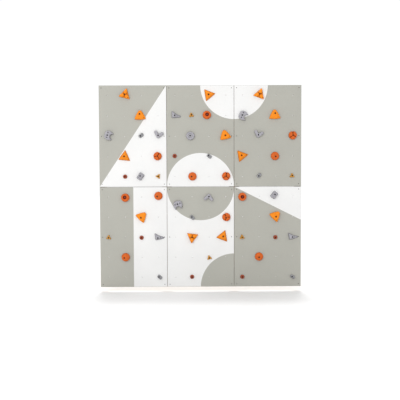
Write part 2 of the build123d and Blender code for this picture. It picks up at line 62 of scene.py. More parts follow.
# column and row count from the top left socket. bolt is its shift from that place of the grid,
# and lean is the shift of the hold's middle from its bolt, both (u, v).
Hold = namedtuple("Hold", "board kind column row turn bolt lean")
HOLD_ROWS = [
    ("top_left", "lobed_triangle", 2, 1, 75, (9, 15), (6, -3)),
    ("top_left", "dished_triangle", 3, 2, 92, (-20, 25), (6, -24)),
    ("top_left", "claw", 1, 3, -19, (4, 15), (0, 0)),
    ("top_left", "small_grey", 3, 3, 40, (-10, 4), (8, 8)),
    ("top_left", "boomerang", 4, 3, 75, (2, 9), (0, 0)),
    ("top_left", "pyramid_triangle", 2, 4, 84, (-4, 3), (5, -6)),
    ("top_left", "lobed_disc", 4, 4, 0, (-10, 5), (0, 0)),
    ("top_left", "small_red", 2, 5, 0, (6, 4), (0, 0)),
    ("top_left", "block", 3, 5, 57, (-18, 13), (2, -7)),
    ("top_left", "small_amber", 4, 5, 60, (-2, 6), (0, 0)),
    ("top_middle", "pyramid_triangle", 3, 1, 129, (-1, 9), (0, -1)),
    ("top_middle", "wedge", 1, 2, -8, (-2, 4), (-9, 0)),
    ("top_middle", "small_amber", 2, 2, 95, (-6, 11), (-2, -3)),
    ("top_middle", "ring_disc", 3, 2, 0, (-24, 15), (-4, -5)),
    ("top_middle", "puck", 2, 3, 0, (-26, 4), (2, 0)),
    ("top_middle", "dished_triangle", 4, 3, 103, (-5, 7), (-3, 1)),
    ("top_middle", "small_red", 1, 4, 0, (-7, 7), (0, 0)),
    ("top_middle", "small_grey", 3, 4, -35, (-4, 10), (11, -8)),
    ("top_middle", "dome_disc", 2, 5, 0, (-6, 1), (12, 3)),
    ("top_middle", "lobed_disc", 4, 5, 20, (6, 6), (0, 0)),
    ("top_right", "lobed_triangle", 2, 1, 70, (3, 15), (0, -3)),
    ("top_right", "claw", 1, 2, -27, (-5, 4), (0, 0)),
    ("top_right", "dished_triangle", 3, 2, 92, (-18, 31), (-5, -25)),
    ("top_right", "boomerang", 2, 3, 75, (-17, 13), (0, 0)),
    ("top_right", "lobed_disc", 4, 3, 30, (-5, 7), (0, 0)),
    ("top_right", "pyramid_triangle", 1, 4, 129, (-15, 13), (2, -5)),
    ("top_right", "dome_disc", 3, 4, 0, (-11, -6), (-7, 8)),
    ("top_right", "small_grey", 2, 5, 50, (-9, 7), (6, 8)),
    ("top_right", "small_amber", 4, 5, 90, (-13, 10), (0, -2)),
    ("bottom_left", "ring_disc", 2, 1, 0, (1, -4), (4, -5)),
    ("bottom_left", "dome_disc", 4, 1, 0, (-18, 8), (16, 8)),
    ("bottom_left", "dished_triangle", 3, 2, 45, (-12, -8), (11, 14)),
    ("bottom_left", "small_amber", 1, 3, 85, (3, -3), (0, 0)),
    ("bottom_left", "small_red", 3, 3, 0, (-7, -7), (0, 0)),
    ("bottom_left", "wedge", 4, 3, 0, (-12, -10), (-6, 6)),
    ("bottom_left", "dome_disc", 2, 4, 0, (-13, -5), (17, 6)),
    ("bottom_left", "small_grey", 4, 5, -42, (0, 5), (11, -6)),
    ("bottom_middle", "claw", 1, 1, -78, (31, -107), (0, 0)),
    ("bottom_middle", "boomerang", 3, 1, 262, (-1, 5), (0, 0)),
    ("bottom_middle", "small_grey", 2, 2, -45, (-6, 0), (8, -8)),
    ("bottom_middle", "lobed_disc", 4, 2, 60, (3, -12), (6, 8)),
    ("bottom_middle", "lobed_triangle", 2, 3, 23, (-4, 0), (3, -2)),
    ("bottom_middle", "pyramid_triangle", 4, 3, 69, (-40, 9), (-4, -3)),
    ("bottom_middle", "small_amber", 3, 4, 105, (3, -13), (0, 0)),
    ("bottom_middle", "small_red", 2, 5, 0, (-6, 2), (0, 0)),
    ("bottom_right", "ring_disc", 1, 1, 0, (-3, -2), (0, 0)),
    ("bottom_right", "block", 3, 1, 54, (-21, 29), (-7, -6)),
    ("bottom_right", "dished_triangle", 3, 2, 44, (-4, 0), (-5, 11)),
    ("bottom_right", "small_amber", 1, 3, 95, (-7, -6), (0, 0)),
    ("bottom_right", "small_red", 3, 3, 0, (-10, -9), (0, 0)),
    ("bottom_right", "wedge", 4, 3, 3, (-7, -4), (-15, 0)),
    ("bottom_right", "dome_disc", 2, 4, 0, (-6, -6), (2, 8)),
    ("bottom_right", "small_red", 1, 5, 0, (-4, -1), (0, 0)),
    ("bottom_right", "small_grey", 4, 5, -28, (-10, 1), (10, -5)),
]
HOLDS = [Hold(*row) for row in HOLD_ROWS]
SMALL = {
    "small_red": "small_red_knobs",
    "small_amber": "small_amber_knobs",
    "small_grey": "small_grey_pads",
}
PINNED = ("lobed_triangle", "dished_triangle", "pyramid_triangle", "wedge")


def board_centre(name):
    row, column = divmod(BOARDS.index(name), 3)
    return (column - 1) * BOARD_W, (0.5 - row) * BOARD_H


def grid_place(name, column, row):
    x, z = board_centre(name)
    return x + (column - 2.5) * GRID_U, z - (row - 3) * GRID_V


def socket_places(name):
    """A board's 20 socket holes. One that carries a hold is where the hold's bolt is."""
    shifts = {(hold.column, hold.row): hold.bolt for hold in HOLDS if hold.board == name}
    places = []
    for row in range(1, 6):
        for column in range(1, 5):
            x, z = grid_place(name, column, row)
            du, dv = shifts.get((column, row), (0, 0))
            places.append((x + du, z + dv))
    return places


def screw_places(name):
    x, z = board_centre(name)
    return [(x + i * SCREW_U, z + j * SCREW_V) for i in (-1, 1) for j in (-1, 0, 1)]


def bolt_place(hold):
    x, z = grid_place(hold.board, hold.column, hold.row)
    return x + hold.bolt[0], z + hold.bolt[1]


# ---------------------------------------------------------------- materials


def new_material(name):
    mat = bpy.data.materials.new(name)
    mat.use_nodes = True
    tree = mat.node_tree
    tree.nodes.clear()
    out = tree.nodes.new("ShaderNodeOutputMaterial")
    shader = tree.nodes.new("ShaderNodeBsdfPrincipled")
    tree.links.new(shader.outputs["BSDF"], out.inputs["Surface"])
    return mat, tree, shader


def noise(tree, scale, detail=4.0, rough=0.55, stretch=(1, 1, 1), distortion=0.0):
    coords = tree.nodes.new("ShaderNodeTexCoord")
    mapping = tree.nodes.new("ShaderNodeMapping")
    mapping.inputs["Scale"].default_value = stretch
    tree.links.new(coords.outputs["Object"], mapping.inputs["Vector"])
    node = tree.nodes.new("ShaderNodeTexNoise")
    node.inputs["Scale"].default_value = scale
    node.inputs["Detail"].default_value = detail
    node.inputs["Roughness"].default_value = rough
    node.inputs["Distortion"].default_value = distortion
    tree.links.new(mapping.outputs["Vector"], node.inputs["Vector"])
    return node.outputs["Fac"]


def ramp(tree, fac, stops):
    node = tree.nodes.new("ShaderNodeValToRGB")
    elements = node.color_ramp.elements
    while len(elements) < len(stops):
        elements.new(0.5)
    for element, (position, colour) in zip(elements, stops):
        element.position = position
        element.color = (*colour, 1.0)
    tree.links.new(fac, node.inputs["Fac"])
    return node.outputs["Color"]


def spread(tree, fac, low, high, at=(0.3, 0.7)):
    node = tree.nodes.new("ShaderNodeMapRange")
    node.inputs["From Min"].default_value = at[0]
    node.inputs["From Max"].default_value = at[1]
    node.inputs["To Min"].default_value = low
    node.inputs["To Max"].default_value = high
    tree.links.new(fac, node.inputs["Value"])
    return node.outputs["Result"]


def bump(tree, height, strength, distance, before=None):
    node = tree.nodes.new("ShaderNodeBump")
    node.inputs["Strength"].default_value = strength
    node.inputs["Distance"].default_value = distance
    tree.links.new(height, node.inputs["Height"])
    if before is not None:
        tree.links.new(before, node.inputs["Normal"])
    return node.outputs["Normal"]


def scaled(colour, k):
    return tuple(min(1.0, c * k) for c in colour)


def resin(name, colour, mottle=0.10):
    """Cast resin, its colour scaled by each point's painted shade and painted highlight."""
    mat, tree, shader = new_material(name)
    soft = noise(tree, 38.0, 3.0, 0.5)
    stops = [(0.3, scaled(colour, 1 - mottle)), (0.5, colour), (0.72, scaled(colour, 1 + mottle))]
    # painted shade and painted highlight, stored on each point of a hold
    painted_light = tree.nodes.new("ShaderNodeAttribute")
    painted_light.attribute_name = "painted_light"
    shaded = tree.nodes.new("ShaderNodeVectorMath")
    shaded.operation = "SCALE"
    tree.links.new(ramp(tree, soft, stops), shaded.inputs["Vector"])
    tree.links.new(painted_light.outputs["Fac"], shaded.inputs["Scale"])
    tree.links.new(shaded.outputs["Vector"], shader.inputs["Base Color"])
    grit = noise(tree, 520.0, 4.0, 0.75)
    dimples = noise(tree, 110.0, 3.0, 0.55)
    normal = bump(tree, dimples, 0.5, 0.0022)
    tree.links.new(bump(tree, grit, 0.75, 0.0009, normal), shader.inputs["Normal"])
    tree.links.new(spread(tree, grit, 0.55, 0.8), shader.inputs["Roughness"])
    shader.inputs["Specular IOR Level"].default_value = 0.25
    return mat


def paint(name, colour):
    """Rolled paint with fine grit in it."""
    mat, tree, shader = new_material(name)
    soft = noise(tree, 2.2, 4.0, 0.55)
    stops = [(0.3, scaled(colour, 0.975)), (0.7, scaled(colour, 1.015))]
    tree.links.new(ramp(tree, soft, stops), shader.inputs["Base Color"])
    grit = noise(tree, 480.0, 3.0, 0.65)
    orange_peel = noise(tree, 90.0, 2.0, 0.5)
    normal = bump(tree, orange_peel, 0.12, 0.001)
    tree.links.new(bump(tree, grit, 0.3, 0.0004, normal), shader.inputs["Normal"])
    tree.links.new(spread(tree, soft, 0.5, 0.62), shader.inputs["Roughness"])
    shader.inputs["Specular IOR Level"].default_value = 0.3
    return mat


def veneer(name, pale, dark):
    """Planed wood with its grain running up."""
    mat, tree, shader = new_material(name)
    grain = noise(tree, 26.0, 6.0, 0.62, (1.0, 1.0, 0.045), 0.6)
    broad = noise(tree, 5.0, 3.0, 0.5, (1.0, 1.0, 0.12), 1.2)
    mix = tree.nodes.new("ShaderNodeMath")
    mix.operation = "MULTIPLY_ADD"
    mix.inputs[1].default_value = 0.45
    tree.links.new(broad, mix.inputs[0])
    half = tree.nodes.new("ShaderNodeMath")
    half.operation = "MULTIPLY"
    half.inputs[1].default_value = 0.55
    tree.links.new(grain, half.inputs[0])
    tree.links.new(half.outputs[0], mix.inputs[2])
    middle = tuple((a + b) / 2 for a, b in zip(pale, dark))
    stops = [(0.36, dark), (0.48, middle), (0.62, pale)]
    tree.links.new(ramp(tree, mix.outputs[0], stops), shader.inputs["Base Color"])
    fibre = noise(tree, 420.0, 3.0, 0.7, (1.0, 1.0, 0.05))
    tree.links.new(bump(tree, fibre, 0.3, 0.0005), shader.inputs["Normal"])
    tree.links.new(spread(tree, grain, 0.6, 0.78), shader.inputs["Roughness"])
    return mat


PLY_PAIR = 0.0028  # metres, one pale and one dark layer


def ply_edge(name):
    """The layers of plywood, seen on its edge."""
    mat, tree, shader = new_material(name)
    coords = tree.nodes.new("ShaderNodeTexCoord")
    split = tree.nodes.new("ShaderNodeSeparateXYZ")
    tree.links.new(coords.outputs["Object"], split.inputs["Vector"])
    wave = tree.nodes.new("ShaderNodeMath")
    wave.operation = "MULTIPLY"
    wave.inputs[1].default_value = 2 * math.pi / PLY_PAIR
    tree.links.new(split.outputs["Y"], wave.inputs[0])
    sine = tree.nodes.new("ShaderNodeMath")
    sine.operation = "SINE"
    tree.links.new(wave.outputs[0], sine.inputs[0])
    fac = spread(tree, sine.outputs[0], 0.0, 1.0, (-0.5, 0.5))
    stops = [(0.0, (0.30, 0.19, 0.10)), (1.0, (0.60, 0.45, 0.28))]
    tree.links.new(ramp(tree, fac, stops), shader.inputs["Base Color"])
    fibre = noise(tree, 300.0, 3.0, 0.7)
    tree.links.new(bump(tree, fibre, 0.3, 0.0005), shader.inputs["Normal"])
    tree.links.new(spread(tree, fibre, 0.6, 0.8), shader.inputs["Roughness"])
    return mat


def metal(name, colour, rough, metallic=1.0):
    """Plated or blackened steel with slight wear."""
    mat, tree, shader = new_material(name)
    wear = noise(tree, 260.0, 4.0, 0.6)
    stops = [(0.3, scaled(colour, 0.8)), (0.7, scaled(colour, 1.15))]
    tree.links.new(ramp(tree, wear, stops), shader.inputs["Base Color"])
    fine = noise(tree, 1800.0, 2.0, 0.6)
    tree.links.new(bump(tree, fine, 0.15, 0.0002), shader.inputs["Normal"])
    tree.links.new(spread(tree, wear, rough - 0.08, rough + 0.1), shader.inputs["Roughness"])
    shader.inputs["Metallic"].default_value = metallic
    return mat


GREY_PAINT = paint("grey_paint", (0.382, 0.378, 0.338))
WHITE_PAINT = paint("white_paint", (0.735, 0.734, 0.727))
# A dark band round each board's front: painted shade of the joints, wider at the top and bottom
# ends.
JOINT_SHADE = paint("painted_joint_shade", (0.25, 0.25, 0.235))
PLY_EDGE = ply_edge("plywood_edge")
PLY_BACK = veneer("birch_back", (0.62, 0.47, 0.29), (0.44, 0.30, 0.17))
PINE = veneer("pine", (0.66, 0.47, 0.26), (0.42, 0.25, 0.11))
AMBER = resin("amber_resin", (0.765, 0.224, 0.007))
RED = resin("red_resin", (0.54, 0.102, 0.012))
CRATER_RED = resin("crater_red_resin", (0.33, 0.022, 0.002))
GREY = resin("grey_resin", (0.328, 0.321, 0.348))
SMALL_RED = resin("small_red_resin", (0.285, 0.055, 0.022))
SMALL_AMBER = resin("small_amber_resin", (0.51, 0.235, 0.035))
SMALL_GREY = resin("small_grey_resin", (0.25, 0.25, 0.26))
BLACK = metal("black_oxide", (0.016, 0.016, 0.017), 0.5, 0.5)
DULL = metal("dull_zinc", (0.17, 0.12, 0.095), 0.5)
ZINC = metal("zinc_plate", (0.13, 0.13, 0.135), 0.42)

# ---------------------------------------------------------------- meshes


def to_world(points, x, z):
    """Points (u, v, w) from the place x, z of the wall, in the frame's metres."""
    p = np.asarray(points, dtype=float)
    return np.stack([x + p[:, 0], -(FRONT + p[:, 2]), z + p[:, 1]], axis=1) * MM


def set_painted_light(mesh, values):
    """Stores each point's painted shade and painted highlight, a factor on its colour, 1 being its
    plain colour.
    """
    attribute = mesh.attributes.new("painted_light", "FLOAT", "POINT")
    attribute.data.foreach_set("value", list(values))


CREASE = 38.0  # edges turning more than this stay sharp


def shade_smooth(mesh, crease):
    mesh.polygons.foreach_set("use_smooth", [True] * len(mesh.polygons))
    mesh.set_sharp_from_angle(angle=math.radians(crease))


def make_object(name, verts, faces, mats, face_mats=None, crease=CREASE, fix_normals=True):
    mesh = bpy.data.meshes.new(name)
    mesh.from_pydata([tuple(v) for v in verts], [], [tuple(f) for f in faces])
    for mat in mats:
        mesh.materials.append(mat)
    if face_mats is not None:
        mesh.polygons.foreach_set("material_index", list(face_mats))
    mesh.validate()
    if fix_normals:
        bm = bmesh.new()
        bm.from_mesh(mesh)
        bmesh.ops.recalc_face_normals(bm, faces=bm.faces)
        bm.to_mesh(mesh)
        bm.free()
    shade_smooth(mesh, crease)
    obj = bpy.data.objects.new(name, mesh)
    bpy.context.scene.collection.objects.link(obj)
    return obj


def ring_faces(rings, count, closed=False):
    """Quads between rings of count points each, listed one after another."""
    faces = []
    for j in range(rings if closed else rings - 1):
        a = j * count
        b = ((j + 1) % rings) * count
        for i in range(count):
            k = (i + 1) % count
            faces.append((a + i, a + k, b + k, b + i))
    return faces


def join_copies(template, places):
    """Copies of a template (vertices, faces) at places (x, z, w of its origin)."""
    verts, faces = [], []
    points, shape = template
    for x, z, w in places:
        start = len(verts)
        verts.extend(to_world(np.asarray(points) + (0, 0, w), x, z))
        faces.extend(tuple(i + start for i in face) for face in shape)
    return verts, faces


# ---------------------------------------------------------------- plates: boards and battens


def circle(x, z, radius, count):
    turn = [2 * math.pi * i / count for i in range(count)]
    return [(x + radius * math.cos(a), z + radius * math.sin(a)) for a in turn]


def arc_line(x, z, radius, start, end, step=2.5):
    """Points of an arc about x, z, from one angle to another, about a step apart."""
    count = max(2, int(abs(end - start) / step))
    turns = [math.radians(start + (end - start) * i / count) for i in range(count + 1)]
    return [(x + radius * math.cos(a), z + radius * math.sin(a)) for a in turns]


# A plate's materials, by their place in its list.
MAIN, SECOND, SIDE, BACK, RIM = range(5)
PAINTED_DEPTH = 4.0  # how far into a hole the front's paint reaches
RIM_U, RIM_V = 1.4, 2.8  # width of the dark rim of a board's front, painted shade of the joints, at its sides and ends
ROUND_STEPS = (67.5, 45.0, 22.5, 0.0)  # angles at which the rounding of an edge is cut


class Plate:
    """A flat timber part: two faces, rounded at their edges and pierced, joined by walls."""

    def __init__(self, x, z, width, height, front_w, back_w, front_edge, back_edge):
        self.x, self.z = x, z
        self.half = (width / 2, height / 2)
        self.front_w, self.back_w = front_w, back_w
        self.front_edge, self.back_edge = front_edge, back_edge
        self.holes = []  # (u, v, rings of (radius, depth), segments)
        self.lines = []  # colour borders on the front
        self.is_white = None  # tells whether a place (u, v) of the front is white

    def drop(self, u, v, edge):
        """How far a face falls away at a place, for an edge rounded to a radius."""
        near = min(self.half[0] - abs(u), self.half[1] - abs(v))
        if edge <= 0 or near >= edge:
            return 0.0
        near = max(0.0, near)
        return edge - math.sqrt(edge * edge - (edge - near) ** 2)

    def face(self, boundary, edge, hole_ring, lines):
        """Triangles of one face, and the loop of points around each of its holes."""
        points = list(boundary)
        edges = [(i, (i + 1) % len(points)) for i in range(len(points))]
        if edge > 0:
            for angle in ROUND_STEPS:
                inset = edge * (1 - math.sin(math.radians(angle)))
                a, b = self.half[0] - inset, self.half[1] - inset
                start = len(points)
                points += [(-a, -b), (a, -b), (a, b), (-a, b)]
                edges += [(start + i, start + (i + 1) % 4) for i in range(4)]
        loops = []
        for hx, hz, rings, count in self.holes:
            start = len(points)
            points += circle(hx, hz, rings[hole_ring][0], count)
            edges += [(start + i, start + (i + 1) % count) for i in range(count)]
            loops.append((hx, hz, rings[hole_ring][0], start, count))
        for line in lines:
            start = len(points)
            points += line
            edges += [(start + i, start + i + 1) for i in range(len(line) - 1)]
        flat = [Vector(p) for p in points]
        coords, _, tris, origins, _, _ = delaunay_2d_cdt(flat, edges, [], 0, 1e-4)
        index = {}
        for new, olds in enumerate(origins):
            for old in olds:
                index[old] = new
        kept = []
        for tri in tris:
            u = sum(coords[i].x for i in tri) / 3
            v = sum(coords[i].y for i in tri) / 3
            if abs(u) > self.half[0] or abs(v) > self.half[1]:
                continue
            if any(math.hypot(u - hx, v - hz) < r * 0.995 for hx, hz, r, _, _ in loops):
                continue
            kept.append((tuple(tri), (u, v)))
        return coords, kept, [[index[s + i] for i in range(n)] for _, _, _, s, n in loops]

    def boundary_points(self):
        """The rectangle's corners, and where colour borders meet its sides."""
        a, b = self.half
        marks = {("b", -a), ("b", a), ("t", -a), ("t", a)}
        for line in self.lines:
            for (u0, v0), (u1, v1) in zip(line, line[1:]):
                for side, value in (("l", -a), ("r", a)):
                    if (u0 - value) * (u1 - value) < 0:
                        v = v0 + (v1 - v0) * (value - u0) / (u1 - u0)
                        if abs(v) < b - 1e-6:
                            marks.add((side, round(v, 6)))
                for side, value in (("b", -b), ("t", b)):
                    if (v0 - value) * (v1 - value) < 0:
                        u = u0 + (u1 - u0) * (value - v0) / (v1 - v0)
                        if abs(u) < a - 1e-6:
                            marks.add((side, round(u, 6)))

        def pick(side):
            return sorted(value for where, value in marks if where == side)

        loop = [(u, -b) for u in pick("b")]
        loop += [(a, v) for v in pick("r")]
        loop += [(u, b) for u in reversed(pick("t"))]
        loop += [(-a, v) for v in reversed(pick("l"))]
        return loop

    def front_mat(self, u, v):
        """The material of the front at a place."""
        if self.is_white is None:
            return MAIN
        # the rim takes the painted shade of the joints
        if self.half[0] - abs(u) < RIM_U or self.half[1] - abs(v) < RIM_V:
            return RIM
        return SECOND if self.is_white(u, v) else MAIN

    def build(self, name, mats):
        """Makes the object. mats come in the order main, second, side, back, rim."""
        boundary = self.boundary_points()
        verts, faces, face_mats = [], [], []
        rims = []
        for w, sign, edge, ring, lines in (
            (self.front_w, -1, self.front_edge, 0, self.lines),
            (self.back_w, 1, self.back_edge, -1, []),
        ):
            front = ring == 0
            coords, kept, loops = self.face(boundary, edge, ring, lines)
            start = len(verts)
            for p in coords:
                verts.append((p.x, p.y, w + sign * self.drop(p.x, p.y, edge)))
            for tri, (u, v) in kept:
                faces.append(tuple(i + start for i in (tri if front else tri[::-1])))
                face_mats.append(self.front_mat(u, v) if front else BACK)
            where = {}
            for i, p in enumerate(coords):
                where[(round(p.x, 3), round(p.y, 3))] = i + start
            outer = [where[(round(u, 3), round(v, 3))] for u, v in boundary]
            rims.append((outer, [[i + start for i in loop] for loop in loops]))
        outer_front, outer_back = rims[0][0], rims[1][0]
        count = len(outer_front)
        for i in range(count):
            k = (i + 1) % count
            faces.append((outer_front[i], outer_back[i], outer_back[k], outer_front[k]))
            face_mats.append(SIDE)
        for (hx, hz, rings, n), front_loop, back_loop in zip(self.holes, rims[0][1], rims[1][1]):
            loops = [front_loop]
            for radius, depth in rings[1:-1]:
                start = len(verts)
                verts += [(u, v, self.front_w - depth) for u, v in circle(hx, hz, radius, n)]
                loops.append(list(range(start, start + n)))
            loops.append(back_loop)
            for j, (upper, lower) in enumerate(zip(loops, loops[1:])):
                painted = self.is_white is not None and rings[j + 1][1] < PAINTED_DEPTH
                wall_mat = SIDE
                if painted:
                    wall_mat = SECOND if self.is_white(hx, hz) else MAIN
                for i in range(n):
                    k = (i + 1) % n
                    faces.append((upper[i], upper[k], lower[k], lower[i]))
                    face_mats.append(wall_mat)
        used = sorted({i for face in faces for i in face})
        place = {old: new for new, old in enumerate(used)}
        faces = [tuple(place[i] for i in face) for face in faces]
        verts = to_world([verts[i] for i in used], self.x, self.z)
        return make_object(name, verts, faces, mats, face_mats, crease=30.0, fix_normals=False)


def line_through(p, q, past=30.0):
    """A straight border through two points, running past both."""
    dx, dz = q[0] - p[0], q[1] - p[1]
    k = past / math.hypot(dx, dz)
    return [(p[0] - dx * k, p[1] - dz * k), (q[0] + dx * k, q[1] + dz * k)]


HALF_W, HALF_H = BOARD_W / 2, BOARD_H / 2
ARC_R = 500.0  # radius of the painted circles


def in_circle(u, v, x, z):
    return math.hypot(u - x, v - z) < ARC_R


# For each board, the borders between grey and white, and whether a place is white.
PATTERNS = {
    "top_left": ([line_through((-HALF_W, -HALF_H), (HALF_W, HALF_H))], lambda u, v: v < 1.5 * u),
    "top_middle": (
        [arc_line(HALF_W, HALF_H, ARC_R, 175, 275), arc_line(0, -HALF_H, ARC_R, -3, 183)],
        lambda u, v: in_circle(u, v, HALF_W, HALF_H) or in_circle(u, v, 0, -HALF_H),
    ),
    "top_right": (
        [arc_line(-HALF_W, HALF_H, ARC_R, -95, 5)],
        lambda u, v: in_circle(u, v, -HALF_W, HALF_H),
    ),
    "bottom_left": ([[(0, -HALF_H - 30), (0, HALF_H + 30)]], lambda u, v: u > 0),
    "bottom_middle": (
        [arc_line(0, HALF_H, ARC_R, -183, 3), arc_line(HALF_W, -HALF_H, ARC_R, 85, 185)],
        lambda u, v: not (in_circle(u, v, 0, HALF_H) or in_circle(u, v, HALF_W, -HALF_H)),
    ),
    "bottom_right": (
        [line_through((-HALF_W, HALF_H), (HALF_W, HALF_H - 500.0))],
        lambda u, v: v > HALF_H - (u + HALF_W) * 0.5,
    ),
}

# Holes as (radius, depth) from the front.
SOCKET = [(6.5, 0), (6.0, 0.5), (6.0, BOARD_T)]
COUNTERSINK = [(6.3, 0), (3.05, 3.2), (3.05, BOARD_T)]
ANCHOR = [(13.0, 0), (13.0, 14.0), (5.5, 14.0), (5.5, 47.4), (6.1, BATTEN)]
BATTEN_H = 2990.0
ANCHOR_PITCH = 800.0

pieces = []

for board in BOARDS:
    bx, bz = board_centre(board)
    plate = Plate(bx, bz, BOARD_W - GAP, BOARD_H - GAP, 0.0, -BOARD_T, 5.0, 0.6)
    for x, z in socket_places(board):
        plate.holes.append((x - bx, z - bz, SOCKET, 28))
    for x, z in screw_places(board):
        plate.holes.append((x - bx, z - bz, COUNTERSINK, 24))
    plate.lines, plate.is_white = PATTERNS[board]
    piece = plate.build(f"painted_{board}", [GREY_PAINT, WHITE_PAINT, PLY_EDGE, PLY_BACK, JOINT_SHADE])
    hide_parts(f"board_{board}")
    pieces.append(piece)

for node, x, width in (
    ("left_edge_batten", -1446.0, 98.0),
    ("left_seam_batten", -500.0, 148.0),
    ("right_seam_batten", 500.0, 148.0),
    ("right_edge_batten", 1446.0, 98.0),
):
    plate = Plate(x, 0.0, width, BATTEN_H, -BOARD_T, -FRONT, 2.5, 4.0)
    for row in range(4):
        plate.holes.append((0.0, (row - 1.5) * ANCHOR_PITCH, ANCHOR, 28))
    piece = plate.build(f"timber_{node}", [PINE, PINE, PINE, PINE])
    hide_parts(node)
    pieces.append(piece)

# ---------------------------------------------------------------- hold shapes


def least(values, k):
    """The smallest of several fields, with the corners between them rounded over k."""
    out = values[0]
    for value in values[1:]:
        h = np.clip(0.5 + 0.5 * (value - out) / k, 0, 1)
        out = value * (1 - h) + out * h - k * h * (1 - h)
    return out


def most(values, k):
    """The largest of several fields, rounded likewise."""
    return -least([-v for v in values], k)


def smooth(x, low, high):
    """0 up to low, 1 from high on, and a soft step between them."""
    t = np.clip((x - low) / (high - low), 0, 1)
    return t * t * (3 - 2 * t)


def round_over(d, width):
    """A quarter round from 0 at the outline to 1 at a width inside it."""
    u = np.clip(d / width, 0, 1)
    return np.sqrt(1 - (1 - u) ** 2)


def bevel(d, width, soft=0.2):
    """A straight slope from the outline to 1, on a low kerb and with its top edge softened."""
    t = d / width
    kerb = soft * 0.25 * (t < 0.02)
    return np.maximum(0.0, least([t, np.ones_like(d)], soft) + kerb)


def along(x, y, angle):
    """Distance along and across a ray from the middle."""
    a = math.radians(angle)
    return x * math.cos(a) + y * math.sin(a), -x * math.sin(a) + y * math.cos(a)


def triangle(x, y, sagitta=0.0, soft=9.0, radius=98.0):
    """Depth inside a triangle with one corner at angle 0, its sides bulging by a sagitta."""
    inner = radius / 2
    sides = []
    for angle in (60, 180, 300):
        n = (math.cos(math.radians(angle)), math.sin(math.radians(angle)))
        if sagitta:
            half = radius * math.sqrt(3) / 2
            big = (half**2 + sagitta**2) / (2 * sagitta)
            far = inner + sagitta - big
            sides.append(big - np.hypot(x - n[0] * far, y - n[1] * far))
        else:
            sides.append(inner - (x * n[0] + y * n[1]))
    return least(sides, soft)


def segment(x, y, p, q):
    """Distance to a straight line between two points."""
    dx, dy = q[0] - p[0], q[1] - p[1]
    t = np.clip(((x - p[0]) * dx + (y - p[1]) * dy) / (dx * dx + dy * dy), 0, 1)
    return np.hypot(x - p[0] - t * dx, y - p[1] - t * dy)


def polygon(x, y, points, grow):
    """Depth inside a polygon whose outline is grown by a radius."""
    d = np.full_like(x, 1e9)
    inside = np.zeros(x.shape, dtype=bool)
    for (x0, y0), (x1, y1) in zip(points, points[1:] + points[:1]):
        d = np.minimum(d, segment(x, y, (x0, y0), (x1, y1)))
        crosses = ((y0 > y) != (y1 > y)) & (x < (x1 - x0) * (y - y0) / (y1 - y0 + 1e-12) + x0)
        inside ^= crosses
    return np.where(inside, d, -d) + grow


def rounded_box(x, y, length, width, corner):
    """Depth inside a rectangle with rounded corners."""
    a = np.abs(x) - length / 2 + corner
    b = np.abs(y) - width / 2 + corner
    outside = np.hypot(np.maximum(a, 0), np.maximum(b, 0))
    return corner - outside - np.minimum(np.maximum(a, b), 0)


# Outlines before they are grown by 8 mm.
CLAW = [(-38, -22), (-25, -46), (22, -59), (70, -42), (70, 42), (22, 65), (-25, 56), (-38, 34)]
WEDGE = [(-37, 52), (-25, -31), (25, -24), (88, -8), (92, -1), (26, 18)]


def outline(kind, x, y):
    """Depth inside a hold's outline, in its own turned frame."""
    r = np.hypot(x, y)
    if kind == "lobed_triangle":
        return triangle(x, y, 1.5, 9.0)
    if kind == "dished_triangle":
        return least([triangle(x, y, 9.0, 12.0), 80.0 - x], 10.0)
    if kind == "pyramid_triangle":
        return triangle(x, y, 1.5, 10.0, 102.0)
    if kind in ("ring_disc", "dome_disc"):
        return DISC_R - r
    if kind == "lobed_disc":
        d = DISC_R - r
        for angle, deep in ((60, 7.0), (190, 3.5), (300, 3.5)):
            p, q = along(x, y, angle)
            d = d - deep * np.exp(-((q / 11.0) ** 2)) * smooth(p, 20, 60)
        return d
    if kind == "claw":
        bite = np.hypot(x - 74.0, y) - 36.0
        return least([polygon(x, y, CLAW, 8.0), bite], 7.0)
    if kind == "boomerang":
        arms = []
        for angle in (42.0, -42.0):
            tip = (71 * math.cos(math.radians(angle)) - 13, 71 * math.sin(math.radians(angle)))
            arms.append(24.0 - segment(x, y, (-13, 0), tip))
        return most(arms, 10.0)
    if kind == "wedge":
        return polygon(x, y, WEDGE, 8.0)
    if kind == "block":
        return rounded_box(x, y, 104.0, 80.0, 12.0)
    if kind == "puck":
        turn = np.arctan2(y, x)
        return DISC_R + 5.0 * np.exp(-((turn / 0.32) ** 2)) - r
    if kind == "small_red":
        return 31.0 - r
    if kind == "small_amber":
        knobs = [triangle(x, y, 0.0, 6.0, 42.0)]
        for angle in (0, 120, 240):
            a = math.radians(angle)
            knobs.append(12.0 - np.hypot(x - 23 * math.cos(a), y - 23 * math.sin(a)))
        return most(knobs, 7.0)
    return rounded_box(x, y, 74.0, 50.0, 16.0)


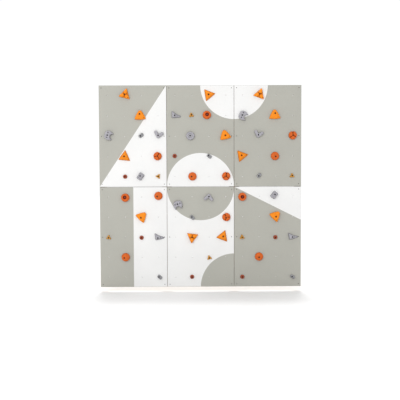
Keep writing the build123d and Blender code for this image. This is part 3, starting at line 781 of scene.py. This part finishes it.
def height(kind, x, y, d, rb):
    """How far a hold stands out of the boards. rb is the distance from its bolt."""
    d = np.maximum(d, 0)
    if kind == "lobed_triangle":
        h = FOOT + 13 * round_over(d, 16)
        for angle in (0, 120, 240):
            p, q = along(x, y, angle)
            p = p - 36.0
            e = (p / np.where(p > 0, 52.0, 33.0)) ** 2 + (q / 28.0) ** 2
            h = most([h, 50 * np.sqrt(np.clip(1 - e, 0, 1))], 3.5)
        return np.minimum(h, FOOT + 48 * round_over(d, 22))
    if kind == "dished_triangle":
        h = FOOT + 42 * round_over(d, 34)
        h = h - 8 * (1 - smooth(rb, 8, 27)) + 1.5 * np.exp(-(((rb - 27) / 4) ** 2))
        return h
    if kind == "pyramid_triangle":
        h = FOOT + 48 * bevel(d, 44, 0.16)
        bowl = 27 + 24 * (rb / 28.0) ** 2
        h = least([h, np.where(rb < 40, bowl, 99.0)], 3.0)
        return h + 1.5 * np.exp(-(((rb - 29) / 3) ** 2))
    if kind == "ring_disc":
        h = FOOT + 40 * round_over(d, 27)
        wall = 22 + 24 * smooth(rb, 20, 31) + np.where(rb > 32, (rb - 32) * 2, 0)
        return least([h, wall], 4.0)
    if kind == "dome_disc":
        return FOOT + 40 * round_over(d, 46) - 6 * np.exp(-((rb / 17.0) ** 2))
    if kind == "lobed_disc":
        h = FOOT + 40 * round_over(d, 36)
        for angle, deep in ((60, 24.0), (190, 18.0), (300, 18.0)):
            p, q = along(x, y, angle)
            h = h - deep * np.exp(-((q / 8.0) ** 2)) * smooth(p, 6, 30) * smooth(d, 0, 10)
        return h - 5 * np.exp(-((rb / 16.0) ** 2))
    if kind == "claw":
        waves = 4.5 * np.sin(x / 11.0 + 0.6) * np.cos(y / 12.0)
        h = FOOT + 39 * round_over(d, 22) + waves * smooth(d, 4, 16)
        for px, py in ((-4.0, 40.0), (2.0, -36.0)):
            pocket = np.exp(-(((x - px) ** 2 + (y - py) ** 2) / 110.0))
            h = h - 15.0 * pocket * smooth(d, 2, 12)
        return h
    if kind == "boomerang":
        return FOOT + 37 * round_over(d, 22)
    if kind == "wedge":
        top = 42 - 22 * smooth(x, -10, 100)
        return FOOT + (top - FOOT) * bevel(d, 17, 0.3)
    if kind == "block":
        return FOOT + 38 * bevel(d, 12, 0.15) - 5.0 * smooth(d, 17, 22)
    if kind == "puck":
        h = FOOT + 37 * round_over(d, 26)
        return h - 6.0 * np.exp(-(((rb - 31) / 4.0) ** 2))
    if kind == "small_red":
        return FOOT + 24 * round_over(d, 24)
    if kind == "small_amber":
        return FOOT + 24 * round_over(d, 15)
    far = np.hypot(x - 19, y)
    h = FOOT + 22 * round_over(d, 15)
    return h - 5 * np.exp(-((far / 7.0) ** 2)) + 1.2 * np.exp(-(((far - 11) / 3.0) ** 2))


# A hold's bolt hole, the pocket for the bolt's head and the pocket's lip, with the painted shade
# of the five rings from the hole's foot to the lip, darkest down in the pocket.
BORE_R, POCKET_R, LIP_R = 5.5, 10.5, 11.2
POCKET_SHADE = [0.15, 0.15, 0.15, 0.3, 0.65]
# painted shade on the rings at the hold's foot, where it meets the boards
FOOT_SHADE = 0.7
RAY_STEP = 0.25
LARGE_MESH, SMALL_MESH = (168, 30), (96, 18)  # points around a hold, rings from lip to foot


def hold_surface(hold, around, rings):
    """Vertices (u, v, w) from the bolt, quads, and tones of painted shade and painted highlight,
    of a hold with its bolt pocket.
    """
    kind, lean = hold.kind, hold.lean
    seat = SEAT["small" if kind in SMALL else "large"]
    ca, sa = math.cos(math.radians(hold.turn)), math.sin(math.radians(hold.turn))

    def local(u, v):
        """The hold's own turned frame, around its middle."""
        du, dv = u - lean[0], v - lean[1]
        return du * ca + dv * sa, -du * sa + dv * ca

    # The outline is where rays from the bolt leave the hold, at even spacing along it.
    angles = np.linspace(0, 2 * math.pi, 1080, endpoint=False)
    steps = np.arange(6.0, 150.0, RAY_STEP)
    u = np.cos(angles)[:, None] * steps
    v = np.sin(angles)[:, None] * steps
    depth = outline(kind, *local(u, v))
    first = np.argmax(depth < 0, axis=1)
    rows = np.arange(len(angles))
    d0, d1 = depth[rows, first - 1], depth[rows, first]
    reach = steps[first - 1] + RAY_STEP * d0 / (d0 - d1)
    edge = np.stack([reach * np.cos(angles), reach * np.sin(angles)], axis=1)
    loop = np.vstack([edge, edge[:1]])
    run = np.concatenate([[0], np.cumsum(np.hypot(*np.diff(loop, axis=0).T))])
    wanted = np.linspace(0, run[-1], around, endpoint=False)
    eu = np.interp(wanted, run, loop[:, 0])
    ev = np.interp(wanted, run, loop[:, 1])
    length = np.hypot(eu, ev)
    cu, cv = eu / length, ev / length

    def raised(t):
        """Radius and height of the ring that lies a share t of the way to the outline."""
        r = LIP_R + (length - LIP_R) * t
        x, y = local(cu * r, cv * r)
        d = outline(kind, x, y) if t < 1 else np.zeros(around)
        w = height(kind, x, y, d, r)
        return r, np.maximum(w, seat + 1.5 if t < 0.03 else 3.0)

    def relief(pu, pv):
        """Height at any place, 0 outside the hold."""
        x, y = local(pu, pv)
        d = outline(kind, x, y)
        w = height(kind, x, y, d, np.hypot(pu, pv))
        return np.where(d < 0, 0.0, w)

    def shade(r, w):
        """Painted shade in the hollows and low down near the boards, painted highlight on the
        ridges, told from the relief close around.
        """
        reach = 5.0 if kind in SMALL else 8.0
        rise = 0.0
        for k in range(4):
            du, dv = reach * math.cos(k * math.pi / 4), reach * math.sin(k * math.pi / 4)
            rise = rise + relief(cu * r + du, cv * r + dv) + relief(cu * r - du, cv * r - dv)
        hollow = (rise / 8 - w) / reach
        tone = 1.03 - 0.95 * np.maximum(hollow, 0) + 0.16 * np.maximum(-hollow, 0)
        # darker low on the hold: painted shade near the boards
        return np.clip(tone, 0.42, 1.12) * (0.6 + 0.4 * smooth(w, 3, 24))

    def ring(r, w):
        return np.stack([cu * r, cv * r, np.zeros(around) + w], axis=1)

    lip_w = raised(0.0)[1]
    out = [ring(BORE_R, 0), ring(BORE_R, seat), ring(POCKET_R, seat)]
    out += [ring(POCKET_R, lip_w - 0.8), ring(LIP_R, lip_w)]
    tones = list(POCKET_SHADE)
    for j in range(1, rings + 1):
        r, w = raised(1 - (1 - j / rings) ** 1.6)
        out.append(ring(r, w))
        tones.append(shade(r, w))
    out += [ring(length, 1.2), ring(length - 0.9, 0.0)]
    tones += [FOOT_SHADE, FOOT_SHADE]
    tones = np.concatenate([np.zeros(around) + tone for tone in tones])
    return np.vstack(out), ring_faces(len(out), around, closed=True), tones


def lathe(profile, count, hexed=None, closed=False):
    """A turned shape from (radius, height) rings. Those listed in hexed are hexagonal."""
    rings = []
    turns = np.linspace(0, 2 * math.pi, count, endpoint=False)
    for j, (r, w) in enumerate(profile):
        radius = np.full(count, float(r))
        if hexed and j in hexed:
            folded = (turns % (math.pi / 3)) - math.pi / 6
            radius = r * math.cos(math.pi / 6) / np.cos(folded)
        level = np.full(count, float(w))
        rings.append(np.stack([radius * np.cos(turns), radius * np.sin(turns), level], axis=1))
    faces = ring_faces(len(profile), count, closed)
    if not closed:
        last = (len(profile) - 1) * count
        faces.append(tuple(range(count)))
        faces.append(tuple(range(last, last + count)))
    return np.vstack(rings), faces


CUT_SHADE = 0.4  # painted shade inside a cut


def cut(obj, verts, faces):
    """Cuts a tool shape out of an object for good."""
    tool = make_object("tool", verts, faces, [])
    set_painted_light(tool.data, [CUT_SHADE] * len(tool.data.vertices))
    mod = obj.modifiers.new("cut", "BOOLEAN")
    mod.operation = "DIFFERENCE"
    mod.solver = "EXACT"
    mod.object = tool
    graph = bpy.context.evaluated_depsgraph_get()
    mesh = bpy.data.meshes.new_from_object(obj.evaluated_get(graph))
    obj.modifiers.clear()
    obj.data = mesh
    bpy.data.objects.remove(tool)
    shade_smooth(mesh, CREASE)


# From a hold's middle: a wedge's pin towards its point, the others' near a corner.
WEDGE_PIN_R = 45.0
CORNER_PIN_R, CORNER_PIN_ANGLE = 66.0, 240


def pin_place(hold):
    """Where a hold's pin screw is, on the wall."""
    x, z = bolt_place(hold)
    x, z = x + hold.lean[0], z + hold.lean[1]
    turn = math.radians(hold.turn)
    if hold.kind == "wedge":
        reach, angle = WEDGE_PIN_R, turn
    else:
        reach, angle = CORNER_PIN_R, turn + math.radians(CORNER_PIN_ANGLE)
    return x + reach * math.cos(angle), z + reach * math.sin(angle)


# For each kind of hold, its material and its slot.
LOOKS = {
    "lobed_triangle": (AMBER, "amber_resin"),
    "dished_triangle": (AMBER, "amber_resin"),
    "pyramid_triangle": (AMBER, "amber_resin"),
    "ring_disc": (RED, "red_resin"),
    "dome_disc": (RED, "red_resin"),
    "lobed_disc": (RED, "red_resin"),
    "claw": (GREY, "grey_resin"),
    "boomerang": (GREY, "grey_resin"),
    "wedge": (GREY, "grey_resin"),
    "block": (GREY, "grey_resin"),
    "puck": (GREY, "grey_resin"),
    "small_red": (SMALL_RED, "small_red_resin"),
    "small_amber": (SMALL_AMBER, "small_amber_resin"),
    "small_grey": (SMALL_GREY, "small_grey_resin"),
}

PIN_TOOL = lathe([(2.3, -2), (2.3, PIN_DEPTH), (4.7, PIN_DEPTH), (4.7, 90)], 20)
CRATER_R = 30.0  # the darker middle of a ring disc
numbers = {}
for hold in HOLDS:
    kind = hold.kind
    if kind in SMALL:
        continue
    numbers[kind] = numbers.get(kind, 0) + 1
    node = f"{kind}_{numbers[kind]}"
    verts, faces, tones = hold_surface(hold, *LARGE_MESH)
    mat, slot = LOOKS[kind]
    mats, face_mats = [mat], None
    if kind == "ring_disc":
        mats = [RED, CRATER_RED]
        reach = np.hypot(verts[:, 0], verts[:, 1])
        face_mats = [int(max(reach[i] for i in face) < CRATER_R) for face in faces]
    piece = make_object(f"hold_{node}", to_world(verts, *bolt_place(hold)), faces, mats, face_mats)
    set_painted_light(piece.data, tones)
    if kind in PINNED:
        cut(piece, *join_copies(PIN_TOOL, [(*pin_place(hold), 0.0)]))
    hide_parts(node)
    pieces.append(piece)

for kind, node in SMALL.items():
    verts, faces, tones = [], [], []
    for hold in HOLDS:
        if hold.kind == kind:
            points, quads, shades = hold_surface(hold, *SMALL_MESH)
            tones.extend(shades)
            start = len(verts)
            verts.extend(to_world(points, *bolt_place(hold)))
            faces.extend(tuple(i + start for i in quad) for quad in quads)
    mat, slot = LOOKS[kind]
    piece = make_object(f"holds_{kind}", verts, faces, [mat])
    set_painted_light(piece.data, tones)
    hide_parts(node)
    pieces.append(piece)

# ---------------------------------------------------------------- hardware

BOLT_R = 4.9
THREAD_PITCH = 1.5


def socketed(profile, count):
    """A turned piece whose second and third last rings are its hexagonal socket."""
    last = len(profile)
    return lathe(profile, count, hexed={last - 3, last - 2})


def bolt_shape(seat):
    """A socket head bolt with its thread's end, from the underside of its head."""
    length = seat + WASHER_T + BOARD_T + 9.0
    profile = [(3.9, -length), (4.3, -length + 0.6)]
    for ridge in range(9):
        w = -length + 1.2 + ridge * THREAD_PITCH
        profile += [(BOLT_R, w), (4.35, w + THREAD_PITCH / 2)]
    profile += [(BOLT_R, -length + 15.2), (BOLT_R, 0)]
    profile += [(7.7, 0), (8.0, 0.4), (8.0, 9.0), (7.3, 9.8)]
    profile += [(5.1, 10.0), (4.62, 9.6), (4.6, 4.2), (1.2, 3.4)]
    return socketed(profile, 24)


def washer_shape():
    """From its underside."""
    inner = [(5.6, 0.3), (5.9, 0)]
    outer = [(9.6, 0), (10, 0.4), (10, 2.6), (9.6, WASHER_T)]
    return lathe(inner + outer + [(5.9, WASHER_T), (5.6, 2.7)], 32, closed=True)


RIM_RINGS = (2, 3, 4)  # the rings of an insert's profile that are its flange's rim


def insert_shape():
    """An insert with a threaded bore and four nicks in its flange, from the board's back."""
    flange = [(5.0, -1.2), (5.4, -1.6), (12.0, -1.6), (12.5, -1.2), (12.5, 0)]
    profile = flange + [(5.9, 0), (5.9, 13), (5.2, 13)]
    for ridge in range(8):
        profile += [(5.0, 12.4 - 1.6 * ridge), (5.35, 11.6 - 1.6 * ridge)]
    points, quads = lathe(profile, 32, closed=True)
    for ring in RIM_RINGS:
        for i in range(0, 32, 8):
            points[ring * 32 + i, :2] *= 0.74
    return points, quads


def screw_shape():
    """A countersunk board screw, from the boards' front."""
    profile = [(0.4, -50), (1.6, -46)]
    for ridge in range(14):
        profile += [(3.0, -45 + 2.0 * ridge), (2.1, -44 + 2.0 * ridge)]
    profile += [(2.6, -16), (2.6, -3.5), (6.0, -0.3), (5.8, 0), (3.0, 0)]
    profile += [(2.3, -0.2), (2.2, -2.6), (0.6, -2.9)]
    return socketed(profile, 18)


def pin_shape():
    """A small screw with a low round head, from the underside of its head."""
    profile = [(0.3, -22), (1.4, -19), (2.0, -17), (2.0, 0), (3.8, 0), (4.0, 0.4), (3.9, 1.4)]
    profile += [(3.0, 2.7), (1.9, 3.0), (1.5, 2.9), (1.45, 1.4), (0.4, 1.2)]
    return socketed(profile, 18)


def hardware(name, node, template, places, mat):
    """One piece from copies of a shape, at places (x, z, w)."""
    verts, faces = join_copies(template, places)
    piece = make_object(name, verts, faces, [mat], crease=32.0)
    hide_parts(node)
    pieces.append(piece)


long_places, ring_places, short_places = [], [], []
for hold in HOLDS:
    if hold.kind in SMALL:
        short_places.append((*bolt_place(hold), SEAT["small"] + WASHER_T))
    elif hold.kind == "ring_disc":
        ring_places.append((*bolt_place(hold), SEAT["large"] + WASHER_T))
    else:
        long_places.append((*bolt_place(hold), SEAT["large"] + WASHER_T))
washers = [(x, z, w - WASHER_T) for x, z, w in long_places + ring_places + short_places]
sockets = [(x, z, -BOARD_T) for board in BOARDS for x, z in socket_places(board)]
screws = [(x, z, 0.0) for board in BOARDS for x, z in screw_places(board)]
pins = [(*pin_place(hold), PIN_DEPTH) for hold in HOLDS if hold.kind in PINNED]

# The bolts in the ring discs' craters are duller than the rest, as in the photograph.
long_bolt, short_bolt = bolt_shape(SEAT["large"]), bolt_shape(SEAT["small"])
hardware("bolts_long", "hold_bolts_long", long_bolt, long_places, BLACK)
hardware("bolts_ring", "hold_bolts_long", long_bolt, ring_places, DULL)
hardware("bolts_short", "hold_bolts_short", short_bolt, short_places, BLACK)
hardware("washers", "bolt_washers", washer_shape(), washers, DULL)
hardware("inserts", "threaded_inserts", insert_shape(), sockets, ZINC)
hardware("screws", "board_screws", screw_shape(), screws, BLACK)
hardware("pins", "pin_screws", pin_shape(), pins, BLACK)

for piece in pieces:
    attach(piece, "root")

# ---------------------------------------------------------------- stage, light, camera

# Metres from here on.
FLOOR_Z = -1.5735
FLOOR_HALF = 40
square = ((-1, -1), (1, -1), (1, 1), (-1, 1))
corners = [(i * FLOOR_HALF, j * FLOOR_HALF, FLOOR_Z) for i, j in square]
mesh = bpy.data.meshes.new("floor")
mesh.from_pydata(corners, [], [(0, 1, 2, 3)])
floor = bpy.data.objects.new("floor", mesh)
bpy.context.scene.collection.objects.link(floor)
mat, tree, shader = new_material("pale_floor")
cloud = noise(tree, 0.8, 3.0, 0.5)
stops = [(0.3, (0.79, 0.79, 0.79)), (0.7, (0.81, 0.81, 0.81))]
tree.links.new(ramp(tree, cloud, stops), shader.inputs["Base Color"])
tree.links.new(bump(tree, noise(tree, 200.0), 0.05, 0.0005), shader.inputs["Normal"])
shader.inputs["Roughness"].default_value = 0.9
shader.inputs["Specular IOR Level"].default_value = 0.1
mesh.materials.append(mat)

scene = bpy.context.scene
world = bpy.data.worlds.new("studio")
scene.world = world
world.use_nodes = True
backdrop = world.node_tree.nodes["Background"]
backdrop.inputs["Color"].default_value = (1.0, 1.0, 1.0, 1.0)
backdrop.inputs["Strength"].default_value = 1.03
scene.view_settings.view_transform = "Standard"


def place_light(light, place, direction):
    obj = bpy.data.objects.new(light.name, light)
    obj.location = place
    obj.rotation_euler = direction.to_track_quat("-Z", "Y").to_euler()
    scene.collection.objects.link(obj)


KEY_PLACE, KEY_TARGET = Vector((-4.8, -8.6, 4.2)), Vector((0, 0, -0.2))
key = bpy.data.lights.new("key", "AREA")
key.shape = "DISK"
key.size = 2.0
key.energy = 258.0
place_light(key, KEY_PLACE, KEY_TARGET - KEY_PLACE)

top = bpy.data.lights.new("top", "SUN")
top.energy = 1.15
top.angle = math.radians(12)
place_light(top, (0.0, 0.0, 0.0), Vector((0.0, -0.26, -0.966)))

# The camera's place and turn were solved from the photograph.
camera = bpy.data.cameras.new("camera")
camera.lens = 50.0
camera.clip_end = 200.0
eye = bpy.data.objects.new("camera", camera)
eye.location = (-0.0754, -8.3328, 0.1600)
eye.rotation_euler = (math.radians(90 - 2.4808), math.radians(0.2192), math.radians(-0.4723))
scene.collection.objects.link(eye)
scene.camera = eye
